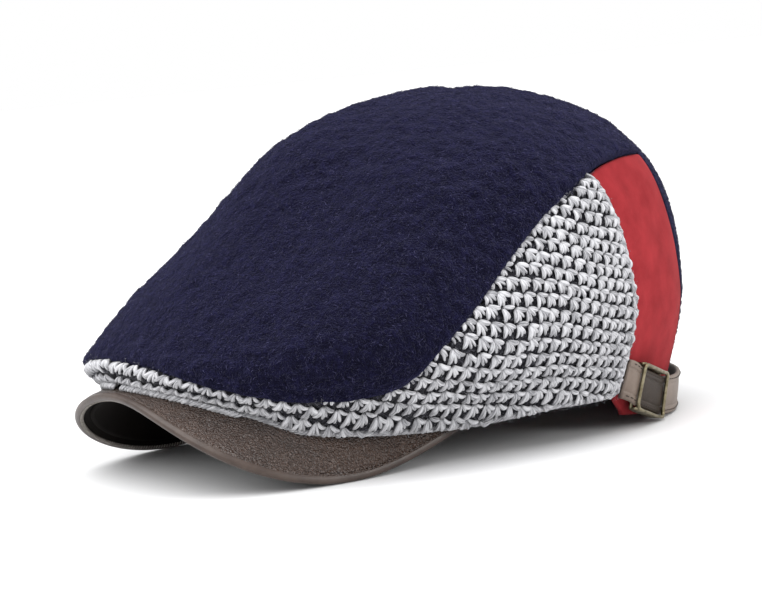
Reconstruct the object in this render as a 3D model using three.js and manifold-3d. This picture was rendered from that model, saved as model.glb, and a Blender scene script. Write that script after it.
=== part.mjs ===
// A flat cap of pieced cloth: a wool crown top, two knitted sides, two felt back panels,
// an arched leather peak with its lining, and a rear strap with a brass buckle.
// Millimetres and degrees. +Z is up, -Y is the front, +X is the wearer's left.
// The crown's axis stands at x = 0, y = 0 until the whole cap is centred at the end.
import * as THREE from 'three';
import Module from 'manifold-3d';

// Driving dimensions
const crown = { height: 136.5, front: 141.5, side: 98.2, back: 108.9 };
const wool = { wall: 3, proud: 0 };
const knit = { wall: 4, proud: 0.6 };
const felt = { wall: 2, proud: -0.8 };
const seam = { gap: 0.7, seat: 0.5 };
const peak = {
  reach: 144.2, corner: 37, back: 100, bend: 72.8, tilt: 15.2, sweep: 75.7, cornerSweep: 74,
  backSweep: 58, fullness: 0.57, lobe: 0.5, wall: 3.2, wrap: 2.4,
};
const lining = { wall: 1, inset: 3, gap: 0.3 };
const strap = { height: 15.2, wall: 1.8, offFloor: 0.4, splay: 2, ease: 6 };
const buckle = {
  fromKnit: 7, length: 24, height: 19, rim: 1.9, face: 1.4, bar: 1, clear: 0.35, tabHold: 1.4,
};

// The crown's sections, one row for each angle from the front round to the back.
// Reaches are shares of the crown's own reach at that angle, rises are shares of its height.
const sectionColumns = [
  'angle', 'hemReach', 'hemRise', 'wideReach', 'wideRise',
  'shoulderReach', 'shoulderRise', 'topReach', 'topRise',
];
const sectionRows = [
  [0, 0.994, 0.288, 0.998, 0.379, 0.668, 0.678, 0.371, 0.912],
  [30, 0.886, 0.146, 0.993, 0.344, 0.657, 0.653, 0.369, 0.901],
  [60, 0.762, 0.096, 1.0, 0.352, 0.782, 0.691, 0.419, 0.916],
  [90, 0.846, 0.104, 1.0, 0.363, 0.886, 0.758, 0.474, 0.944],
  [120, 0.847, 0.037, 0.987, 0.378, 0.887, 0.776, 0.473, 0.962],
  [150, 0.886, 0.005, 1.005, 0.39, 0.898, 0.763, 0.464, 0.973],
  [180, 0.856, 0, 0.999, 0.396, 0.871, 0.749, 0.461, 0.932],
];
const sectionStep = 30;

// Seams between the panels. A level is a share of the way from the hem, 0, to the apex, 1.
const topSeam = {
  columns: ['angle', 'level'],
  rows: [
    [0, 0.225], [10, 0.22], [20, 0.172], [35, 0.145], [50, 0.165],
    [60, 0.262], [70, 0.345], [82, 0.413], [93, 0.455], [103.5, 0.485],
  ],
};
const feltTop = {
  columns: ['angle', 'level'],
  rows: [[103.5, 0.485], [111, 0.5], [123, 0.51], [136.5, 0.512]],
};
const knitRear = {
  columns: ['level', 'angle'],
  rows: [
    [0, 117], [0.035, 111], [0.045, 111], [0.1, 110.5], [0.2, 110.5], [0.26, 111],
    [0.31, 110], [0.36, 109], [0.41, 107.5], [0.45, 106], [0.485, 103.5],
  ],
};
const stripEdge = {
  columns: ['level', 'angle'],
  rows: [[0, 148], [0.1, 146], [0.2, 143], [0.33, 138.5], [0.42, 136.5], [0.512, 136.5]],
};
// How far the knit's lower edge stays above the felt's hem.
const knitHem = {
  columns: ['angle', 'level'],
  rows: [[0, 0], [75, 0], [95, 0.015], [111, 0.045]],
};
// The strap's rise above its level at the back, in shares of its own height, and how far
// its inner face stands off the felt, in shares of its wall.
const strapRise = {
  columns: ['angle', 'rise'],
  rows: [
    [104, 1.1], [112, 0.87], [117, 0.6], [123, 0.38], [129.5, 0.16], [137, 0.04],
    [143, 0], [180, 0],
  ],
};
const strapStand = {
  columns: ['angle', 'stand'],
  rows: [[110, 0.28], [114.5, 1.05], [130, 1.1], [142, 1.75], [180, 1.9]],
};

// Mesh density
const steps = {
  topAcross: 24, topAlong: 40, knitAlong: 44, knitUp: 6, feltAcross: 7, feltUp: 13,
  peakAcross: 40, peakDeep: 6, strapAlong: 36, strapUp: 3, tabAlong: 2, buckleAlong: 4,
};

const radians = THREE.MathUtils.degToRad;
const lerp = THREE.MathUtils.lerp;
const wrapAngle = (angle) => ((((angle + 180) % 360) + 360) % 360) - 180;

// Catmull-Rom between b and c, for t from 0 to 1.
function spline(a, b, c, d, t) {
  const linear = c - a;
  const square = 2 * a - 5 * b + 4 * c - d;
  const cube = 3 * b - a - 3 * c + d;
  return 0.5 * (2 * b + linear * t + square * t * t + cube * t * t * t);
}

// A smooth curve through a two-column table, held at its end values outside it, and level
// beside a level stretch.
function along(table, at) {
  const rows = table.rows;
  const last = rows.length - 1;
  if (at <= rows[0][0]) return rows[0][1];
  if (at >= rows[last][0]) return rows[last][1];
  let i = 0;
  while (at > rows[i + 1][0]) i += 1;
  const slope = (k) => {
    const from = rows[Math.max(k - 1, 0)];
    const to = rows[Math.min(k + 1, last)];
    const level = (rows[k][1] - from[1]) * (to[1] - rows[k][1]) === 0 && k > 0 && k < last;
    return level ? 0 : (to[1] - from[1]) / (to[0] - from[0]);
  };
  const span = rows[i + 1][0] - rows[i][0];
  const t = (at - rows[i][0]) / span;
  const stay = (1 + 2 * t) * (1 - t) * (1 - t);
  const leave = t * (1 - t) * (1 - t) * span * slope(i);
  const arrive = t * t * (t - 1) * span * slope(i + 1);
  return rows[i][1] * stay + leave + rows[i + 1][1] * (1 - stay) + arrive;
}

// One column of the section table at any angle, the same on both sides of the cap.
function section(name, angle) {
  const column = sectionColumns.indexOf(name);
  const last = sectionRows.length - 1;
  const row = (k) => sectionRows[k < 0 ? -k : k > last ? 2 * last - k : k][column];
  const at = Math.abs(wrapAngle(angle)) / sectionStep;
  const i = Math.min(Math.floor(at), last - 1);
  return spline(row(i - 1), row(i), row(i + 1), row(i + 2), at - i);
}

// The crown's reach from its axis, an ellipse quarter on each side.
function reach(angle) {
  const a = radians(angle);
  const lengthwise = Math.cos(a) > 0 ? crown.front : crown.back;
  return Math.hypot(lengthwise * Math.cos(a), crown.side * Math.sin(a));
}

// The peak is a plate bent over a tilted cylinder. Its place on that cylinder is the
// bend angle from the middle and y, and its front seats at a height found further down.
const peakSlope = Math.tan(radians(peak.tilt));
let peakLift = 0;

function peakPoint(bend, y, depth) {
  const top = new THREE.Vector3(
    peak.bend * Math.sin(bend),
    y,
    peakLift + (y + peak.reach) * peakSlope - peak.bend * (1 - Math.cos(bend)),
  );
  const normal = new THREE.Vector3(Math.sin(bend), -peakSlope * Math.cos(bend), Math.cos(bend));
  return top.addScaledVector(normal.normalize(), -depth);
}

// The plate's front edge, turn running from -90 at one corner to 90 at the other. It hangs
// lowest at its lobes and draws in again towards the corners.
function peakFront(turn) {
  const a = radians(turn);
  const across = Math.sign(a) * Math.abs(Math.sin(a)) ** peak.fullness;
  const forward = Math.abs(Math.cos(a)) ** peak.fullness;
  const pastLobe = 1 - Math.min(forward / peak.lobe, 1);
  const drawnIn = pastLobe ** 2 * radians(peak.sweep - peak.cornerSweep);
  return {
    bend: Math.asin(Math.sin(radians(peak.sweep)) * across) - Math.sign(a) * drawnIn,
    y: -peak.corner - (peak.reach - peak.corner) * forward,
  };
}

// The plate's rear edge, along the front of the head opening.
function peakRear(turn) {
  const a = radians(turn);
  return {
    bend: Math.asin(Math.sin(radians(peak.backSweep)) * Math.sin(a)),
    y: -peak.corner - (peak.back - peak.corner) * Math.cos(a),
  };
}

// A place on the plate: share 0 is the rear edge, 1 is the front edge, and past is how far
// beyond the front edge, square to it.
function peakPlace(turn, share, past) {
  const limited = THREE.MathUtils.clamp(turn, -89.5, 89.5);
  const before = peakFront(limited - 0.5);
  const after = peakFront(limited + 0.5);
  const sideways = (after.bend - before.bend) * peak.bend;
  const lengthwise = after.y - before.y;
  const length = Math.hypot(sideways, lengthwise);
  const front = peakFront(turn);
  const rear = peakRear(turn);
  return {
    bend: lerp(rear.bend, front.bend, share) + (past * lengthwise) / length / peak.bend,
    y: lerp(rear.y, front.y, share) - (past * sideways) / length,
  };
}

const peakTurns = [];
for (let i = 0; i <= steps.peakAcross; i += 1) {
  peakTurns.push(-90 + (180 * i) / steps.peakAcross);
}

// Seat the peak so that its lowest edge stands on the floor.
const edgeDepth = peak.wall / 2;
peakLift = -Math.min(...peakTurns.map((turn) => {
  const place = peakPlace(turn, 1, peak.wrap);
  return peakPoint(place.bend, place.y, edgeDepth).z;
}));

// The height at which cloth seats on the peak, or far below where there is no peak.
function seatHeight(x, y) {
  if (y > -peak.corner || Math.abs(x) > peak.bend * Math.sin(radians(peak.sweep))) return -Infinity;
  const bend = Math.asin(x / peak.bend);
  return peakPoint(bend, y, 0).z + seam.seat / Math.cos(bend);
}

// The hem's place at an angle, so far inside the crown's surface.
function hemPlace(angle, inward) {
  const a = radians(angle);
  const radius = section('hemReach', angle) * reach(angle) - inward;
  return new THREE.Vector2(radius * Math.sin(a), -radius * Math.cos(a));
}

// The hem stands on the peak in front and hangs free at the sides and back.
function hemHeight(angle) {
  const place = hemPlace(angle, -knit.proud);
  const free = section('hemRise', angle) * crown.height;
  return Math.max(free, seatHeight(place.x, place.y), 0);
}

// The crown's surface. Level 0 is the hem and 1 the apex, and each profile runs on
// over the apex into the one opposite.
const levels = ['hem', 'wide', 'shoulder', 'top'];
const profiles = new Map();

function profile(angle) {
  const key = angle.toFixed(4);
  if (profiles.has(key)) return profiles.get(key);
  const size = reach(angle);
  const radii = levels.map((name) => section(`${name}Reach`, angle) * size);
  const heights = levels.map((name) => section(`${name}Rise`, angle) * crown.height);
  heights[0] = hemHeight(angle);
  const opposite = wrapAngle(angle + 180);
  radii.unshift(2 * radii[0] - radii[1]);
  heights.unshift(2 * heights[0] - heights[1]);
  radii.push(0, -section('topReach', opposite) * reach(opposite));
  heights.push(crown.height, section('topRise', opposite) * crown.height);
  const made = { radii, heights };
  profiles.set(key, made);
  return made;
}

function surface(angle, level) {
  const { radii, heights } = profile(angle);
  const at = THREE.MathUtils.clamp(level, 0, 1) * levels.length;
  const i = Math.min(Math.floor(at), levels.length - 1);
  const radius = spline(...radii.slice(i, i + 4), at - i);
  const height = spline(...heights.slice(i, i + 4), at - i);
  const a = radians(angle);
  return new THREE.Vector3(radius * Math.sin(a), -radius * Math.cos(a), height);
}

// The surface's outward direction, from two short crossing steps.
function outward(angle, level) {
  const turn = 0.5;
  const rise = 0.004;
  const low = Math.max(level - rise, 0);
  const high = Math.min(level + rise, 1 - rise);
  const up = surface(angle, high).sub(surface(angle, low));
  const round = surface(angle + turn, level).sub(surface(angle - turn, level));
  if (round.length() < 1e-6) return new THREE.Vector3(0, 0, 1);
  return round.cross(up).normalize();
}

// A point of a cloth's outer face, and the point of its inner face under it. The hem is
// cut level from the outer face to the inner one, or along the peak where it seats there.
function wallPair(cloth, angle, level) {
  if (level === 0) {
    const height = hemHeight(angle);
    const out = hemPlace(angle, -cloth.proud);
    const into = hemPlace(angle, cloth.wall - cloth.proud);
    const inHeight = Math.max(height, seatHeight(into.x, into.y));
    return {
      outer: new THREE.Vector3(out.x, out.y, height),
      inner: new THREE.Vector3(into.x, into.y, inHeight),
    };
  }
  const out = outward(angle, level);
  const outer = surface(angle, level).addScaledVector(out, cloth.proud);
  return { outer, inner: outer.clone().addScaledVector(out, -cloth.wall) };
}

// A closed solid through closed sections, each a row of points there and back.
function loft(sections) {
  const positions = [];
  const index = [];
  const count = sections[0].length;
  for (const points of sections) {
    for (const point of points) positions.push(point.x, point.y, point.z);
  }
  const at = (i, k) => i * count + (k % count);
  for (let i = 0; i + 1 < sections.length; i += 1) {
    for (let k = 0; k < count; k += 1) {
      index.push(at(i, k), at(i, k + 1), at(i + 1, k + 1));
      index.push(at(i, k), at(i + 1, k + 1), at(i + 1, k));
    }
  }
  const last = sections.length - 1;
  for (let k = 0; 2 * k + 2 < count; k += 1) {
    const here = [k, k + 1, count - 2 - k, count - 1 - k];
    const near = here.map((corner) => at(0, corner));
    const far = here.map((corner) => at(last, corner));
    index.push(near[0], near[3], near[1]);
    index.push(far[0], far[1], far[3]);
    if (here[1] < here[2]) {
      index.push(near[1], near[3], near[2]);
      index.push(far[1], far[2], far[3]);
    }
  }
  const geometry = new THREE.BufferGeometry();
  geometry.setAttribute('position', new THREE.Float32BufferAttribute(positions, 3));
  geometry.setIndex(volume(positions, index) < 0 ? index.toReversed() : index);
  geometry.computeVertexNormals();
  return geometry;
}

function volume(positions, index) {
  const point = (k) => new THREE.Vector3().fromArray(positions, 3 * index[k]);
  let sum = 0;
  for (let k = 0; k < index.length; k += 3) {
    sum += point(k).dot(point(k + 1).cross(point(k + 2)));
  }
  return sum / 6;
}

// A cloth panel from its places: one row of { angle, level } for each section.
function panel(cloth, rows) {
  return loft(rows.map((row) => {
    const pairs = row.map(({ angle, level }) => wallPair(cloth, angle, level));
    const outer = pairs.map((pair) => pair.outer);
    const inner = pairs.map((pair) => pair.inner);
    return [...outer, ...inner.reverse()];
  }));
}

function grid(rows, columns, place) {
  const made = [];
  for (let i = 0; i <= rows; i += 1) {
    const row = [];
    for (let k = 0; k <= columns; k += 1) row.push(place(i / rows, k / columns));
    made.push(row);
  }
  return made;
}

// Half a seam's gap, as a level and as an angle, at a place on the crown.
function halfLevel(angle, level) {
  const step = 0.01;
  const length = surface(angle, level + step).distanceTo(surface(angle, level - step));
  return (seam.gap * step) / length;
}

const halfAngle = THREE.MathUtils.radToDeg(seam.gap / 2 / crown.side);
const junction = topSeam.rows.at(-1);
const stripTop = feltTop.rows.at(-1);

// Crown top. It is laid out on a disc, centre at the apex and rim at the hem, as a patch
// between the front seam, the two long sides and the hem of the centre back strip.
const topCorner = 38;
const toDisc = (angle, level) => new THREE.Vector2(
  (1 - level) * Math.sin(radians(angle)),
  -(1 - level) * Math.cos(radians(angle)),
);

function fromDisc(place) {
  const level = 1 - place.length();
  return {
    angle: THREE.MathUtils.radToDeg(Math.atan2(place.x, -place.y)),
    level: level < 1e-6 ? 0 : level,
  };
}

// A place just above a seam.
function discAbove(table, angle) {
  const level = along(table, Math.abs(angle));
  return toDisc(angle, level + halfLevel(angle, level));
}

// The patch's long side: along the front seam, then the felt's top, then down the strip.
const sidePieces = [
  { share: 0.475, place: (t) => {
    const angle = lerp(topCorner, junction[0], t);
    return discAbove(topSeam, angle);
  } },
  { share: 0.175, place: (t) => {
    const angle = lerp(junction[0], stripTop[0] + halfAngle, t);
    return discAbove(feltTop, angle);
  } },
  { share: 0.35, place: (t) => {
    const top = stripTop[1] + halfLevel(stripTop[0], stripTop[1]);
    const level = top * (1 - t);
    return toDisc(along(stripEdge, level) + halfAngle, level);
  } },
];

function pointOnSide(share) {
  let from = 0;
  for (const piece of sidePieces) {
    if (share <= from + piece.share + 1e-9) return piece.place((share - from) / piece.share);
    from += piece.share;
  }
  return sidePieces.at(-1).place(1);
}

// How far a place on an end edge is from the chord of that edge.
function bow(edge, end, acrossShare) {
  return new THREE.Vector2(edge.x - lerp(-end.x, end.x, acrossShare), edge.y - end.y);
}

function topPlace(alongShare, acrossShare) {
  const right = pointOnSide(alongShare);
  const place = new THREE.Vector2(lerp(-right.x, right.x, acrossShare), right.y);
  const front = discAbove(topSeam, lerp(-topCorner, topCorner, acrossShare));
  const fromBack = 180 - stripEdge.rows[0][1] - halfAngle;
  const hem = toDisc(180 + lerp(fromBack, -fromBack, acrossShare), 0);
  place.addScaledVector(bow(front, pointOnSide(0), acrossShare), 1 - alongShare);
  place.addScaledVector(bow(hem, pointOnSide(1), acrossShare), alongShare);
  return fromDisc(place);
}

// Knitted side, from the centre front to its rear edge.
function knitPlace(side, alongShare, upShare) {
  const topAngle = lerp(halfAngle, junction[0] - halfAngle, alongShare);
  const seamLevel = along(topSeam, topAngle);
  const topLevel = seamLevel - halfLevel(topAngle, seamLevel);
  const rearLevel = lerp(knitHem.rows.at(-1)[1], junction[1], upShare);
  const angle = lerp(halfAngle, along(knitRear, rearLevel) - halfAngle, alongShare);
  const hemLevel = along(knitHem, angle);
  return { angle: side * angle, level: lerp(hemLevel, topLevel, upShare) };
}

// Felt back panel, between the knit's rear edge and the centre back strip.
function feltPlace(side, acrossShare, upShare) {
  const topAngle = lerp(junction[0] + halfAngle, stripTop[0] - halfAngle, acrossShare);
  const seamLevel = along(feltTop, topAngle);
  const topLevel = seamLevel - halfLevel(topAngle, seamLevel);
  const front = along(knitRear, upShare * junction[1]) + halfAngle;
  const back = along(stripEdge, upShare * stripTop[1]) - halfAngle;
  return { angle: side * lerp(front, back, acrossShare), level: upShare * topLevel };
}

// Peak: a plate whose leather wraps round the front edge in a blunt nose.
function peakSection(turn) {
  const top = [];
  const under = [];
  for (let k = 0; k <= steps.peakDeep; k += 1) {
    const place = peakPlace(turn, k / steps.peakDeep, 0);
    top.push(peakPoint(place.bend, place.y, 0));
    under.push(peakPoint(place.bend, place.y, peak.wall));
  }
  const nose = peakPlace(turn, 1, peak.wrap);
  return [...top, peakPoint(nose.bend, nose.y, edgeDepth), ...under.reverse()];
}

function liningSection(turn) {
  const depth = peak.wall + lining.gap;
  const top = [];
  const under = [];
  for (let k = 0; k <= steps.peakDeep; k += 1) {
    const share = k / steps.peakDeep;
    const place = peakPlace(turn * 0.985, share, -lining.inset * share);
    top.push(peakPoint(place.bend, place.y, depth));
    under.push(peakPoint(place.bend, place.y, depth + lining.wall));
  }
  return [...top, ...under.reverse()];
}

// The level of the crown's surface at a height, near its hem.
function levelAtHeight(angle, height) {
  let low = 0;
  let high = 0.3;
  for (let k = 0; k < 30; k += 1) {
    const middle = (low + high) / 2;
    if (surface(angle, middle).z < height) low = middle;
    else high = middle;
  }
  return (low + high) / 2;
}

// The height of the strap's centre line, measured upright as the strap's height is.
const strapCentre = (angle) => strap.offFloor + strap.height * (0.5 + along(strapRise, Math.abs(angle)));

// The angle that a length along the strap takes.
const degreesPerLength = THREE.MathUtils.radToDeg(1 / (section('hemReach', 120) * reach(120)));

// The strap is sewn in at the knit's rear edge, and its end follows that edge.
function strapEnd(across) {
  let angle = knitRear.rows[0][1];
  for (let k = 0; k < 8; k += 1) {
    const level = levelAtHeight(angle, strapCentre(angle) + across);
    angle = along(knitRear, level) + 2 * halfAngle;
  }
  return angle;
}

const sewnAngle = strapEnd(0);

// A point of the strap's own space: across is measured upright from its centre line, and out
// level from its inner face, which stands off the felt, more at its lower edge.
function strapPoint(angle, across, out) {
  const height = strapCentre(angle) + across;
  const level = levelAtHeight(angle, height);
  const fromEnd = (Math.abs(angle) - sewnAngle) / degreesPerLength;
  const loose = THREE.MathUtils.smoothstep(fromEnd / strap.ease, 0, 1);
  const splay = strap.splay * loose * (0.5 - across / strap.height);
  const stand = strap.wall * along(strapStand, Math.abs(angle)) + splay;
  const away = outward(angle, level).setZ(0).normalize();
  return surface(angle, level).addScaledVector(away, felt.proud + stand + out).setZ(height);
}

const buckleStart = sewnAngle + buckle.fromKnit * degreesPerLength;
const buckleEnd = buckleStart + buckle.length * degreesPerLength;
const splitAngle = buckleStart + buckle.tabHold * degreesPerLength;
const wrapKeepingBack = (angle) => (angle > 180 ? angle - 360 : angle);

// The band's section at an angle given for each distance across it.
function strapSection(angleAt) {
  const near = [];
  const far = [];
  for (let k = 0; k <= steps.strapUp; k += 1) {
    const across = strap.height * (k / steps.strapUp - 0.5);
    const angle = wrapKeepingBack(angleAt(across));
    near.push(strapPoint(angle, across, 0));
    far.push(strapPoint(angle, across, strap.wall));
  }
  return [...far, ...near.reverse()];
}

function band(count, from, to) {
  const made = [];
  for (let i = 0; i <= count; i += 1) {
    made.push(strapSection((across) => lerp(from(across), to(across), i / count)));
  }
  return made;
}

// The tab from the left rear seam into the buckle, and the strap from inside the buckle
// round the back to the right rear seam.
const tabSections = () => band(steps.tabAlong, strapEnd, () => splitAngle);
const strapSections = () => band(
  steps.strapAlong,
  () => splitAngle + buckle.clear * degreesPerLength,
  (across) => 360 - strapEnd(across),
);

// A block in the strap's space, between two angles, two distances across and two out.
function strapBlock(angles, acrosses, outs) {
  const made = [];
  for (let i = 0; i <= steps.buckleAlong; i += 1) {
    const angle = lerp(angles[0], angles[1], i / steps.buckleAlong);
    const far = [];
    const near = [];
    for (let k = 0; k <= steps.strapUp; k += 1) {
      const across = lerp(acrosses[0], acrosses[1], k / steps.strapUp);
      far.push(strapPoint(angle, across, outs[1]));
      near.push(strapPoint(angle, across, outs[0]));
    }
    made.push([...far, ...near.reverse()]);
  }
  return loft(made);
}

const wasm = await Module();
wasm.setup();

function toSolid(geometry) {
  return new wasm.Manifold(new wasm.Mesh({
    numProp: 3,
    vertProperties: new Float32Array(geometry.getAttribute('position').array),
    triVerts: new Uint32Array(geometry.getIndex().array),
  }));
}

function fromSolid(solid) {
  const mesh = solid.getMesh();
  const geometry = new THREE.BufferGeometry();
  const positions = new THREE.Float32BufferAttribute(mesh.vertProperties, 3);
  geometry.setAttribute('position', positions);
  geometry.setIndex(Array.from(mesh.triVerts));
  geometry.computeVertexNormals();
  return geometry;
}

// Buckle: a sleeve round the strap with a window in its face.
function buckleGeometry() {
  const rim = buckle.rim * degreesPerLength;
  const half = buckle.height / 2;
  const inside = strap.height / 2 + buckle.clear;
  const back = -buckle.clear;
  const front = strap.wall + buckle.clear;
  const whole = strapBlock(
    [buckleStart, buckleEnd],
    [-half, half],
    [back - buckle.bar, front + buckle.face],
  );
  const passage = strapBlock(
    [buckleStart - rim, buckleEnd + rim],
    [-inside, inside],
    [back, front],
  );
  const edge = half - buckle.rim;
  const window = strapBlock(
    [buckleStart + rim, buckleEnd - rim],
    [-edge, edge],
    [strap.wall, front + 2 * buckle.face],
  );
  return fromSolid(toSolid(whole).subtract(toSolid(passage)).subtract(toSolid(window)));
}

// Finishes
const finishes = {
  navyWool: { color: 0x262448, roughness: 0.95, metalness: 0 },
  greyKnit: { color: 0x8c8c90, roughness: 0.95, metalness: 0 },
  redFelt: { color: 0xb2373e, roughness: 0.9, metalness: 0 },
  brownLeather: { color: 0x57483e, roughness: 0.55, metalness: 0 },
  darkLining: { color: 0x1c1715, roughness: 0.85, metalness: 0 },
  taupeLeather: { color: 0x786a5f, roughness: 0.6, metalness: 0 },
  agedBrass: { color: 0xa89a78, roughness: 0.4, metalness: 0.9 },
};

const group = new THREE.Group();

function add(name, geometry, finish) {
  const mesh = new THREE.Mesh(geometry, new THREE.MeshStandardMaterial(finishes[finish]));
  mesh.name = name;
  group.add(mesh);
}

add('crown_top', panel(wool, grid(steps.topAlong, steps.topAcross, topPlace)), 'navyWool');
for (const [side, name] of [[1, 'left'], [-1, 'right']]) {
  const knitRows = grid(steps.knitAlong, steps.knitUp, (a, u) => knitPlace(side, a, u));
  const feltRows = grid(steps.feltAcross, steps.feltUp, (a, u) => feltPlace(side, a, u));
  add(`knit_side_${name}`, panel(knit, knitRows), 'greyKnit');
  add(`back_panel_${name}`, panel(felt, feltRows), 'redFelt');
}
add('peak', loft(peakTurns.map(peakSection)), 'brownLeather');
add('peak_lining', loft(peakTurns.map(liningSection)), 'darkLining');
add('strap', loft(strapSections()), 'taupeLeather');
add('buckle_tab', loft(tabSections()), 'taupeLeather');
add('buckle', buckleGeometry(), 'agedBrass');

// The cap's origin is the middle of its underside.
const extent = new THREE.Box3().setFromObject(group);
const middle = extent.getCenter(new THREE.Vector3());
group.position.set(-middle.x, -middle.y, -extent.min.z);

export default group;
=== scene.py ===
import math

import bpy
import numpy as np
from mathutils import Matrix, Vector


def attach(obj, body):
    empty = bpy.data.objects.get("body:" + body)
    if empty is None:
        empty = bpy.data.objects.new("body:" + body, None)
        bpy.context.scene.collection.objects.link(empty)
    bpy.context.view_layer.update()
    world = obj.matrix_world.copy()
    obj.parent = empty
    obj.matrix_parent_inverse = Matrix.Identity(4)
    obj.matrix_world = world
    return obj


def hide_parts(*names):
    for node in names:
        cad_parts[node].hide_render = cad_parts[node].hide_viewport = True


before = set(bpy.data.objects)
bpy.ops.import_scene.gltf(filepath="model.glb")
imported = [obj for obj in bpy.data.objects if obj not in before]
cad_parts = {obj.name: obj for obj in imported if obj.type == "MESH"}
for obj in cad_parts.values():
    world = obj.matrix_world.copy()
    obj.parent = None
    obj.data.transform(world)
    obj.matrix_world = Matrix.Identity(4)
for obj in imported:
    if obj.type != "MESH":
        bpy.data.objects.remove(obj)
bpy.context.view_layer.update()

# A flat cap. Sizes are in millimetres, as in the solid model, and become metres when a mesh
# is made. Angles run from the front, 0, over the wearer's left, 90, to the back, 180.
# Levels run from the hem, 0, to the apex, 1.
rng = np.random.default_rng(7)
MM = 0.001
# The solid model was moved back by this much to put its box in the middle.
shift_y = 18.7033

crown = dict(height=136.5, front=141.5, side=98.2, back=108.9)
seam_gap = 0.7
seat_gap = 0.5
wool_wall = 3.0
knit_wall, knit_proud = 4.0, 0.6
felt_wall, felt_proud = 2.0, -0.8
peak = dict(reach=144.2, corner=37, back=100, bend=72.8, tilt=15.2, sweep=75.7,
            corner_sweep=74, back_sweep=58, fullness=0.57, lobe=0.5, wall=3.2, wrap=2.4)
lining = dict(wall=1.0, inset=3.0, gap=0.3)
strap = dict(height=15.2, wall=1.8, off_floor=0.4, splay=2.0, ease=6.0)
buckle = dict(from_knit=7.0, length=24.0, height=19.0, rim=1.9, face=1.4, bar=1.0,
              clear=0.35, tab_hold=1.4)

section_columns = ("hemReach", "hemRise", "wideReach", "wideRise",
                   "shoulderReach", "shoulderRise", "topReach", "topRise")
section_rows = np.array([
    [0.994, 0.288, 0.998, 0.379, 0.668, 0.678, 0.371, 0.912],
    [0.886, 0.146, 0.993, 0.344, 0.657, 0.653, 0.369, 0.901],
    [0.762, 0.096, 1.0, 0.352, 0.782, 0.691, 0.419, 0.916],
    [0.846, 0.104, 1.0, 0.363, 0.886, 0.758, 0.474, 0.944],
    [0.847, 0.037, 0.987, 0.378, 0.887, 0.776, 0.473, 0.962],
    [0.886, 0.005, 1.005, 0.39, 0.898, 0.763, 0.464, 0.973],
    [0.856, 0.0, 0.999, 0.396, 0.871, 0.749, 0.461, 0.932],
])
section_step = 30.0
top_seam = ((0, .225), (10, .22), (20, .172), (35, .145), (50, .165), (60, .262),
            (70, .345), (82, .413), (93, .455), (103.5, .485))
felt_top = ((103.5, .485), (111, .5), (123, .51), (136.5, .512))
knit_rear = ((0, 117), (.035, 111), (.045, 111), (.1, 110.5), (.2, 110.5), (.26, 111),
             (.31, 110), (.36, 109), (.41, 107.5), (.45, 106), (.485, 103.5))
strip_edge = ((0, 148), (.1, 146), (.2, 143), (.33, 138.5), (.42, 136.5), (.512, 136.5))
knit_hem = ((0, 0), (75, 0), (95, .015), (111, .045))
strap_rise = ((104, 1.1), (112, .87), (117, .6), (123, .38), (129.5, .16), (137, .04),
              (143, 0), (180, 0))
strap_stand = ((110, .28), (114.5, 1.05), (130, 1.1), (142, 1.75), (180, 1.9))


# The crown's surface.
def spline(a, b, c, d, t):
    return 0.5 * (2 * b + (c - a) * t + (2 * a - 5 * b + 4 * c - d) * t ** 2
                  + (3 * b - a - 3 * c + d) * t ** 3)


def wrap_angle(angle):
    return (np.asarray(angle, float) + 180) % 360 - 180


def along(table, at):
    table = np.asarray(table, float)
    last = len(table) - 1
    at = np.clip(np.asarray(at, float), table[0, 0], table[-1, 0])
    i = np.clip(np.searchsorted(table[:, 0], at, side="left") - 1, 0, last - 1)
    slopes = np.zeros(last + 1)
    for k in range(last + 1):
        low, high = table[max(k - 1, 0)], table[min(k + 1, last)]
        level = 0 < k < last and (table[k, 1] - low[1]) * (high[1] - table[k, 1]) == 0
        slopes[k] = 0 if level else (high[1] - low[1]) / (high[0] - low[0])
    span = table[i + 1, 0] - table[i, 0]
    t = (at - table[i, 0]) / span
    stay = (1 + 2 * t) * (1 - t) ** 2
    return (table[i, 1] * stay + t * (1 - t) ** 2 * span * slopes[i]
            + table[i + 1, 1] * (1 - stay) + t * t * (t - 1) * span * slopes[i + 1])


def section(name, angle):
    column = section_rows[:, section_columns.index(name)]
    last = len(column) - 1
    at = np.abs(wrap_angle(angle)) / section_step
    i = np.minimum(at.astype(int), last - 1)

    def row(k):
        return column[np.where(k < 0, -k, np.where(k > last, 2 * last - k, k))]
    return spline(row(i - 1), row(i), row(i + 1), row(i + 2), at - i)


def reach(angle):
    a = np.radians(angle)
    lengthwise = np.where(np.cos(a) > 0, crown["front"], crown["back"])
    return np.hypot(lengthwise * np.cos(a), crown["side"] * np.sin(a))


peak_slope = math.tan(math.radians(peak["tilt"]))
peak_lift = 0.0


def peak_normal(bend):
    normal = np.stack([np.sin(bend), -peak_slope * np.cos(bend), np.cos(bend)], -1)
    return normal / np.linalg.norm(normal, axis=-1, keepdims=True)


def peak_point(bend, y, depth):
    bend, y, depth = np.broadcast_arrays(bend, y, depth)
    height = peak_lift + (y + peak["reach"]) * peak_slope - peak["bend"] * (1 - np.cos(bend))
    top = np.stack([peak["bend"] * np.sin(bend), y, height], -1)
    return top - peak_normal(bend) * depth[..., None]


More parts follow.
